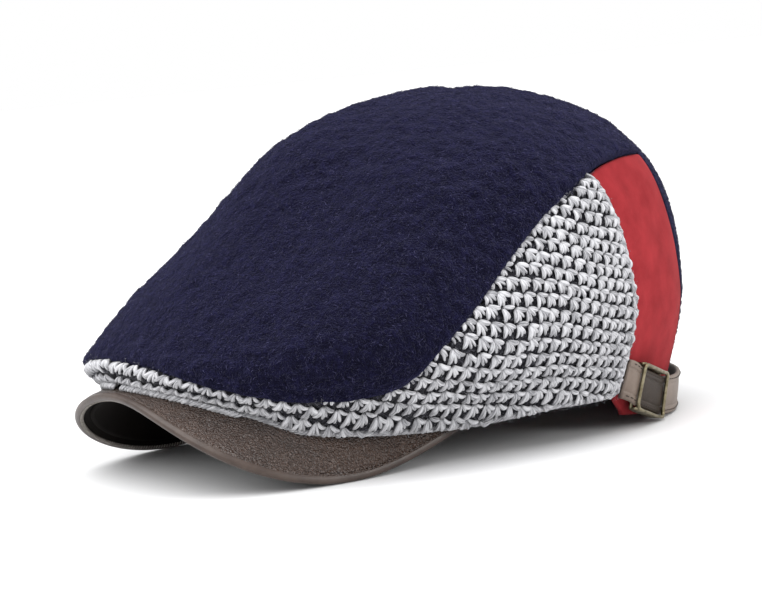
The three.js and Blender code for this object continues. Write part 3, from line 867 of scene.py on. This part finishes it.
def knit_side(side, name):
    u, v = unit_grid(150, 26)
    angle, level = knit_place(side, u, v)
    base = surface(angle, level)
    normal = outward(angle, level)
    distance = edge_distance(base)
    at_hem = (v < 1e-9) & (along(knit_hem, np.abs(angle)) == 0)
    normal[at_hem] = unit(normal[at_hem] * [1, 1, 0])
    lift = knit_proud - 1.0 + (noise(base, 3) - .5) * .5 - rolled(distance, 3, 1.2)
    outer = base + normal * lift[..., None]
    inner = base - normal * (knit_wall - knit_proud)
    inner[at_hem, 2] = np.maximum(base[at_hem, 2], seat_height(inner[at_hem, 0], inner[at_hem, 1]))
    points, faces = shell(outer, inner)
    mesh_object(f"{name}_ground", points, oriented(points, faces), dark_ground, "marled_knit",
                (name,))

    parts = star_strands(side)
    # The bound rear edge and the lower edge.
    edge_level = np.linspace(knit_hem[-1][1], junction[1], 42)
    edge_angle = along(knit_rear, edge_level) - half_angle - .75
    edge_out = outward(side * edge_angle, edge_level)
    rear_line = surface(side * edge_angle, edge_level)
    parts.append(edge_chain(rear_line + edge_out * .3, edge_out, 5.0, 1.15, .9))
    parts.append(edge_chain(rear_line - edge_out * .1, edge_out, 6.5, 1.1, .5))
    hem_angle = np.linspace(.4, 110.4, 90)
    hem_level = along(knit_hem, hem_angle)
    hem_out = outward(side * hem_angle, np.maximum(hem_level, .004))
    hem_line = surface(side * hem_angle, hem_level) + hem_out * -.1 + [0, 0, .75]
    parts.append(edge_chain(hem_line, hem_out, 4.0, 1.2, 1.1))
    # The front hem is thicker and rests on the peak.
    roll_angle = np.linspace(.4, 22, 50)
    roll_out = outward(side * roll_angle, np.full_like(roll_angle, .004))
    roll_line = surface(side * roll_angle, 0 * roll_angle) + unit(roll_out * [1, 1, 0]) * 1.6
    roll_line[:, 2] = np.maximum(seat_height(roll_line[:, 0], roll_line[:, 1]) + .9,
                                 roll_line[:, 2] - 1.2)
    parts.append(edge_chain(roll_line, roll_out, 3.6, 1.35, 1.1))
    points, faces, coords = join(parts)
    mesh_object(f"{name}_stitches", points, faces, light_strands, "marled_knit",
                values={"strand": coords})
    nap(f"{name}_fuzz", 6500, base, normal, (1.0, 2.6), .06, knit_fuzz, "marled_knit",
        curl=1.4, rise=1.9)


def edge_chain(line, normals, pitch, radius, lean=.55):
    """A row of slanted strands along an edge."""
    run = run_along(line)
    count = int(run[-1] / pitch * 2)
    starts = np.linspace(0, run[-1] - pitch, count)
    t = np.linspace(0, 1, 6)
    at = starts[:, None] + t * pitch * 1.25
    at = np.clip(at, 0, run[-1])
    centres = line_at(at, run, line)
    n = unit(line_at(starts, run, normals))
    tangent = unit(centres[:, -1] - centres[:, 0])
    side = np.cross(n, tangent)
    sway = (t - .5) * 2 * lean * radius
    centres = centres + side[:, None] * sway[None, :, None] + n[:, None] * (.35 * np.sin(np.pi * t))[None, :, None]
    swell = np.sin(np.pi * (.08 + .84 * t)) ** .6
    radii = radius * .62 * swell * (1 + .12 * rng.normal(size=(count, 1)))
    return strands(centres, radii, n, sides=6)


# Felt back panels.
def felt_place(side, across, up):
    top_angle = junction[0] + half_angle + (strip_top[0] - junction[0] - 2 * half_angle) * across
    seam_level = along(felt_top, top_angle)
    top_level = seam_level - half_level(top_angle, seam_level)
    front = along(knit_rear, up * junction[1]) + half_angle
    back = along(strip_edge, up * strip_top[1]) - half_angle
    return side * (front + (back - front) * across), up * top_level


def felt_panel(side, name):
    u, v = unit_grid(50, 110)
    angle, level = felt_place(side, u, v)
    base = surface(angle, level)
    normal = outward(angle, level)
    at_hem = v < 1e-9
    normal[at_hem] = unit(normal[at_hem] * [1, 1, 0])
    distance = edge_distance(base)
    ripple = (noise(base, 16, 2.2) - .5) * .9 + (noise(base, 5, 1.2) - .5) * .2
    lift = felt_proud + ripple * np.clip(distance / 8, 0, 1) - rolled(distance, 1.6, .7)
    outer = base + normal * lift[..., None]
    outer[at_hem, 2] = base[at_hem, 2]
    inner = base + normal * (felt_proud - felt_wall)
    inner[at_hem, 2] = base[at_hem, 2]
    points, faces = shell(outer, inner)
    mesh_object(name + "_cloth", points, oriented(points, faces), red, "red_felt", (name,))


# Peak.
def peak_piece():
    turns = np.linspace(-90, 90, 241)
    share = np.linspace(0, 1, 34)
    wall, edge = peak["wall"], peak["wrap"]
    # The profile from the rear edge over the top, round the nose and back underneath.
    profile = [(s, 0.0, 0.0) for s in share[:-1]]
    crease = .2
    groove = [(-crease - .9, -.12), (-crease - .45, -.1), (-crease, .22), (-crease + .3, .06),
              (.5, .12)]
    profile += [(1.0, past, depth) for past, depth in groove]
    for k in range(2, 12):
        a = math.pi * k / 12
        profile.append((1.0, (edge - .1) * math.sin(a) ** .6, wall / 2 - wall / 2 * math.cos(a)))
    profile += [(1.0, 0.0, wall), (1.0, -1.2, wall), (1.0, -2.4, wall)]
    profile += [(s, 0.0, wall) for s in share[::-1][3:]]
    turn = turns[:, None]
    s = np.array([p[0] for p in profile])[None]
    past = np.array([p[1] for p in profile])[None]
    depth = np.array([p[2] for p in profile])[None]
    bend, y = peak_place(turn, s, past)
    grid = peak_point(bend, y, depth * np.ones_like(bend))
    tops = len(share) - 1
    bend0 = (noise(grid[:, :tops], 14, 4.4) - .5) * .5
    grid[:, :tops] += peak_normal(bend[:, :tops]) * (bend0 * np.clip(1.0 - s[:, :tops] ** 6, 0,
                                                                     1))[..., None]
    rows, columns = grid.shape[:2]
    piece = mesh_object("peak_leather", *tube(grid), pebbled, "brown_leather", ("peak",))
    piece.data.materials.append(rim_leather)
    piece.data.materials.append(under_cloth_and_shade)
    first_rim = tops + 2
    first_under = tops + len(groove) + 10
    column = np.tile(np.arange(columns), rows - 1)
    index = np.where(column < first_rim, 0, np.where(column < first_under, 1, 2))
    index = np.concatenate([index, [1, 1]]).astype(np.int32)
    piece.data.polygons.foreach_set("material_index", index)


def stitch_row(line, normals, pitch, length, radius, sink):
    run = run_along(line)
    starts = np.arange(pitch * .5, run[-1] - length, pitch)
    t = np.linspace(0, 1, 6)
    at = starts[:, None] + t * length
    centres = line_at(at, run, line)
    n = unit(line_at(starts, run, normals))
    hop = (np.sin(np.pi * t) ** .6 * (radius + sink) - sink)
    centres = centres + n[:, None] * hop[None, :, None]
    radii = np.full((len(starts), 6), radius)
    return strands(centres, radii, n, sides=6)


stitch_pitch = 1.3


def lining_piece():
    turns = np.linspace(-90, 90, 181)[:, None] * .985
    share = np.linspace(0, 1, 30)[None]
    depth = peak["wall"] + lining["gap"]
    bend, y = peak_place(turns, share, -lining["inset"] * share)
    normal = peak_normal(bend)
    top = peak_point(bend, y, depth)
    sag = (noise(top, 12, 9.9) - .5) * .4
    under = peak_point(bend, y, depth + lining["wall"] + sag * np.clip(8 * (1 - share), 0, 1))
    points, faces = shell(top, under)
    mesh_object("peak_lining_cloth", points, oriented(points, faces), under_cloth_and_shade, "peak_lining",
                ("peak_lining",))
    # Short stitches across the inner side of the rim.
    turn = np.linspace(-88, 88, 1400)
    bend, y = peak_place(turn, 1.0, 0.0)
    line = peak_point(bend, y, peak["wall"])
    run = run_along(line)
    turn = np.interp(np.arange(0, run[-1], stitch_pitch), run, turn)
    past = np.linspace(-.4, 1.4, 6)
    swing = np.pi - np.arcsin(np.clip(past / (peak["wrap"] - .1), 0, 1) ** (1 / .6))
    bend, y = peak_place(turn[:, None], 1.0, past)
    rungs = peak_point(bend, y, peak["wall"] / 2 * (1 - np.cos(swing)) + .12)
    points, faces, coords = strands(rungs, np.full(bend.shape, .3), -peak_normal(bend[:, 3]),
                                    sides=6)
    mesh_object("peak_stitches", points, faces, pale_thread, "peak_lining",
                values={"strand": coords})


# Strap and buckle.
def level_at_height(angle, height):
    low, high = np.zeros_like(height), np.full_like(height, .3)
    for _ in range(24):
        middle = (low + high) / 2
        below = surface(angle, middle)[..., 2] < height
        low, high = np.where(below, middle, low), np.where(below, high, middle)
    return (low + high) / 2


def strap_centre(angle):
    return strap["off_floor"] + strap["height"] * (.5 + along(strap_rise,
                                                              np.abs(wrap_angle(angle))))


degrees_per_mm = math.degrees(1 / float(section("hemReach", np.array(120.0)) * reach(120.0)))


def strap_end(across):
    across = np.asarray(across, float)
    angle = np.full_like(across, knit_rear[0][1])
    for _ in range(8):
        level = level_at_height(angle, strap_centre(angle) + across)
        angle = along(knit_rear, level) + 2 * half_angle
    return angle


sewn_angle = float(strap_end(np.zeros(1))[0])


def strap_point(angle, across, out):
    angle, across, out = np.broadcast_arrays(np.asarray(angle, float), np.asarray(across, float),
                                             np.asarray(out, float))
    place = wrap_angle(angle)
    height = strap_centre(place) + across
    level = level_at_height(place, height)
    from_end = (np.abs(place) - sewn_angle) / degrees_per_mm
    x = np.clip(from_end / strap["ease"], 0, 1)
    loose = x * x * (3 - 2 * x)
    splay = strap["splay"] * loose * (.5 - across / strap["height"])
    stand = strap["wall"] * along(strap_stand, np.abs(place)) + splay
    away = unit(outward(place, level) * [1, 1, 0])
    point = surface(place, level) + away * (felt_proud + stand + out)[..., None]
    point[..., 2] = height
    return point


buckle_start = sewn_angle + buckle["from_knit"] * degrees_per_mm
buckle_end = buckle_start + buckle["length"] * degrees_per_mm
split_angle = buckle_start + buckle["tab_hold"] * degrees_per_mm

# The strap's section: across from its middle, and how far its outer face stands.
half = strap["height"] / 2
fold = 3.0
strap_profile = [(-half, .5), (-half, 1.2), (-half + .3, 1.65), (-half + .9, 1.85),
                 (-half + fold - .7, 1.9),
                 (-half + fold - .25, 1.8), (-half + fold, 1.38), (-half + fold + .3, 1.62),
                 (-half + fold + 1.2, 1.78), (0, 1.86),
                 (half - fold - 1.2, 1.78), (half - fold - .3, 1.62), (half - fold, 1.38),
                 (half - fold + .25, 1.8), (half - fold + .7, 1.9), (half - .9, 1.85), (half - .3,
                                                                                        1.65),
                 (half, 1.2), (half, .5), (half - .5, 0), (0, 0), (-half + .5, 0)]


def band(name, start, end, count, replaces, dome=None):
    """A length of strap between two angles, each a function of the distance across."""
    across = np.array([p[0] for p in strap_profile])
    out = np.array([p[1] for p in strap_profile])
    t = np.linspace(0, 1, count)[:, None]
    angle = start(across)[None] * (1 - t) + end(across)[None] * t
    lift = np.tile(out, (count, 1))
    if dome is not None:
        lift = lift + dome(angle, across[None]) * (out[None] > .4)
    grid = strap_point(angle, np.tile(across, (count, 1)), lift)
    return mesh_object(name, *tube(grid), taupe, "taupe_leather", replaces)


def strap_pieces():
    def constant(value):
        return lambda across: np.full_like(across, value)
    strap_start = split_angle + buckle["clear"] * degrees_per_mm

    def face_dome(angle, across):
        x = (wrap_angle(angle) - buckle_start) / (buckle_end - buckle_start)
        inside = np.where(angle < 180, np.clip(np.minimum(x, 1 - x) * 6, 0, 1), 0)
        return .45 * inside * np.clip(1 - (across / half) ** 2, 0, 1)
    rows = 260
    long_strap = band("strap_leather", constant(strap_start),
                      lambda across: 360 - strap_end(across), rows,
                      ("strap",), face_dome)
    # The rows of strap under the buckle frame take the darker taupe: painted shade.
    long_strap.data.materials.append(taupe_painted_shade)
    row_angle = strap_start + (360 - sewn_angle - strap_start) * (np.arange(rows - 1)
                                                                  + .5) / (rows - 1)
    shaded_window_rows = np.repeat(row_angle < buckle_end, len(strap_profile)).astype(np.int32)
    long_strap.data.polygons.foreach_set("material_index", np.concatenate([shaded_window_rows, [1, 0]]).astype(np.int32))
    band("tab_leather", strap_end, constant(split_angle), 24, ("buckle_tab",))
    parts = []
    for edge_at in (-half + fold * .45, half - fold * .45):
        angles = np.linspace(sewn_angle + .6, 360 - sewn_angle - .6, 900)
        line = strap_point(angles, edge_at, 1.88)
        n = unit(outward(wrap_angle(angles), np.full_like(angles, .05)) * [1, 1, 0])
        parts.append(stitch_row(line, n, 2.3, 1.7, .2, .12))
    points, faces, coords = join(parts)
    mesh_object("strap_stitches", points, faces, dark_thread, "taupe_leather",
                values={"strand": coords})


def rounded_loop(half_x, half_y, radius, count):
    """Points round a rounded rectangle, with outward directions."""
    corners = [(half_x - radius, half_y - radius, 0), (-half_x + radius, half_y - radius, 90),
               (-half_x + radius, -half_y + radius, 180), (half_x - radius, -half_y + radius, 270)]
    places, ways = [], []
    for cx, cy, start in corners:
        for k in range(count + 1):
            a = math.radians(start + 90 * k / count)
            ways.append((math.cos(a), math.sin(a)))
            places.append((cx + radius * math.cos(a), cy + radius * math.sin(a)))
    places, ways = np.array(places), np.array(ways)
    # Extra points along the straight stretches.
    out_p, out_w = [], []
    for k in range(len(places)):
        p0, p1 = places[k], places[(k + 1) % len(places)]
        w0, w1 = ways[k], ways[(k + 1) % len(places)]
        gap = np.linalg.norm(p1 - p0)
        n = max(1, int(gap / 1.2))
        for j in range(n):
            out_p.append(p0 + (p1 - p0) * j / n)
            out_w.append(w0 + (w1 - w0) * j / n)
    return np.array(out_p), unit(np.array(out_w))


def buckle_piece():
    middle = (buckle_start + buckle_end) / 2
    half_long, half_high = buckle["length"] / 2, buckle["height"] / 2
    front = strap["wall"] + buckle["clear"] + buckle["face"]
    loop, ways = rounded_loop(half_long - .75, half_high - .75, 2.2, 6)
    wire = .75
    sides = 12
    a = 2 * np.pi * np.arange(sides) / sides
    in_plane, out = wire * np.cos(a), wire * 1.05 * np.sin(a)
    x = loop[:, 0, None] + ways[:, 0, None] * in_plane
    y = loop[:, 1, None] + ways[:, 1, None] * in_plane
    stand = (front - wire) + out[None] + 0 * x
    grid = strap_point(middle + x * degrees_per_mm, y, stand)
    rows, columns = grid.shape[:2]
    points = grid.reshape(-1, 3)
    faces = oriented(points, [quads(rows, columns, close_rows=True, close_columns=True)])
    parts = [(points, faces, np.zeros_like(points))]

    def bar(along_strap, across, out):
        points, faces = tube(strap_point(middle + along_strap * degrees_per_mm, across, out))
        parts.append((points, faces, np.zeros_like(points)))
    # Flat bars behind the strap and over its edges, which close the sleeve.
    back = -buckle["clear"] - buckle["bar"]
    for end in (-1, 1):
        bar(end * (half_long - 1.4) + np.array([-.8, .8, .8, -.8]),
            np.linspace(-half_high + .5, half_high - .5, 16)[:, None],
            np.array([back, back, back + buckle["bar"], back + buckle["bar"]]))
    for edge_y in (-half_high + .75, half_high - .75):
        bar(np.linspace(-half_long + 1.0, half_long - 1.0, 14)[:, None],
            edge_y + np.array([-.55, .55, .55, -.55]),
            np.array([back, back, front - .9, front - .9]))
    points, faces, _ = join(parts)
    mesh_object("buckle_frame", points, faces, brass, "aged_brass", ("buckle",))


# Build.
points, faces = shell(wool_outer, inner)
mesh_object("crown_wool", points, oriented(points, faces), navy, "navy_wool", ("crown_top",))
front_half = np.clip((60 - wool_outer[..., 1]) / 10, 0, 1)
nap("crown_nap_front", 31000, wool_outer, wool_normal, (.9, 2.4), .1, navy_nap, "navy_wool",
    curl=1.6, rise=.7, chosen=front_half)
nap("crown_nap_rear", 14000, wool_outer, wool_normal, (.9, 2.4), .1, navy_nap, "navy_wool",
    curl=1.6, rise=.7, chosen=1.001 - front_half)
for side, word in ((1, "left"), (-1, "right")):
    knit_side(side, f"knit_side_{word}")
    felt_panel(side, f"back_panel_{word}")
peak_piece()
lining_piece()
strap_pieces()
buckle_piece()


# Floor, light and camera.
paper = Look("pale_floor", .7, specular=.2)
paper.shader.inputs["Base Color"].default_value = (.69, .69, .695, 1)
floor_mesh = bpy.data.meshes.new("floor")
far = 6.0
floor_mesh.from_pydata([(-far, -far, 0), (far, -far, 0), (far, far, 0), (-far, far, 0)], [],
                       [(0, 1, 2, 3)])
floor_mesh.materials.append(paper.material)
floor = bpy.data.objects.new("floor", floor_mesh)
bpy.context.scene.collection.objects.link(floor)

world = bpy.data.worlds.new("studio")
bpy.context.scene.world = world
world.use_nodes = True
world.node_tree.nodes["Background"].inputs["Color"].default_value = (1, 1, 1, 1)
world.node_tree.nodes["Background"].inputs["Strength"].default_value = 1.0


def area_light(name, place, target, size, energy):
    lamp = bpy.data.lights.new(name, "AREA")
    lamp.shape = "SQUARE"
    lamp.size = size
    lamp.energy = energy
    made = bpy.data.objects.new(name, lamp)
    made.location = place
    made.rotation_euler = (Vector(target) - Vector(place)).to_track_quat("-Z", "Y").to_euler()
    bpy.context.scene.collection.objects.link(made)


# The camera's azimuth is from the cap's front, -Y, towards its left, +X.
azimuth, elevation, roll = math.radians(56.52), math.radians(6.51), math.radians(-4.91)
distance_mm, focal_px, image_width = 1000.0, 2480.0, 762
target = Vector((-1.63, -20 + shift_y, 52.45)) * MM
back = Vector((math.sin(azimuth) * math.cos(elevation), -math.cos(azimuth) * math.cos(elevation),
               math.sin(elevation)))
right = Vector((math.cos(azimuth), math.sin(azimuth), 0))
up = back.cross(right)
right, up = right * math.cos(roll) + up * math.sin(roll), up * math.cos(roll) - right * math.sin(roll)
camera_data = bpy.data.cameras.new("camera")
camera_data.sensor_width = 36.0
camera_data.lens = focal_px / image_width * camera_data.sensor_width
camera_data.clip_end = 50
camera = bpy.data.objects.new("camera", camera_data)
camera.matrix_world = Matrix.Translation(target + back * distance_mm
                                         * MM) @ Matrix((right, up, back)).transposed().to_4x4()
bpy.context.scene.collection.objects.link(camera)
bpy.context.scene.camera = camera

centre = Vector((0, 0, .06))
left_of_view = -right
lamp = bpy.data.lights.new("window", "SUN")
lamp.energy = 4.0
lamp.angle = math.radians(80)
window = bpy.data.objects.new("window", lamp)
window.rotation_euler = (left_of_view * .42 + back * .3 + Vector((0, 0, .86))).to_track_quat("Z", "Y").to_euler()
bpy.context.scene.collection.objects.link(window)
area_light("top", centre + Vector((0, 0, 1.2)) + right * .3, centre, .5, 2)
area_light("right", centre + back * .5 + right * .8 + Vector((0, 0, .26)), centre, .3, 3.4)

bpy.context.scene.view_settings.view_transform = "Standard"
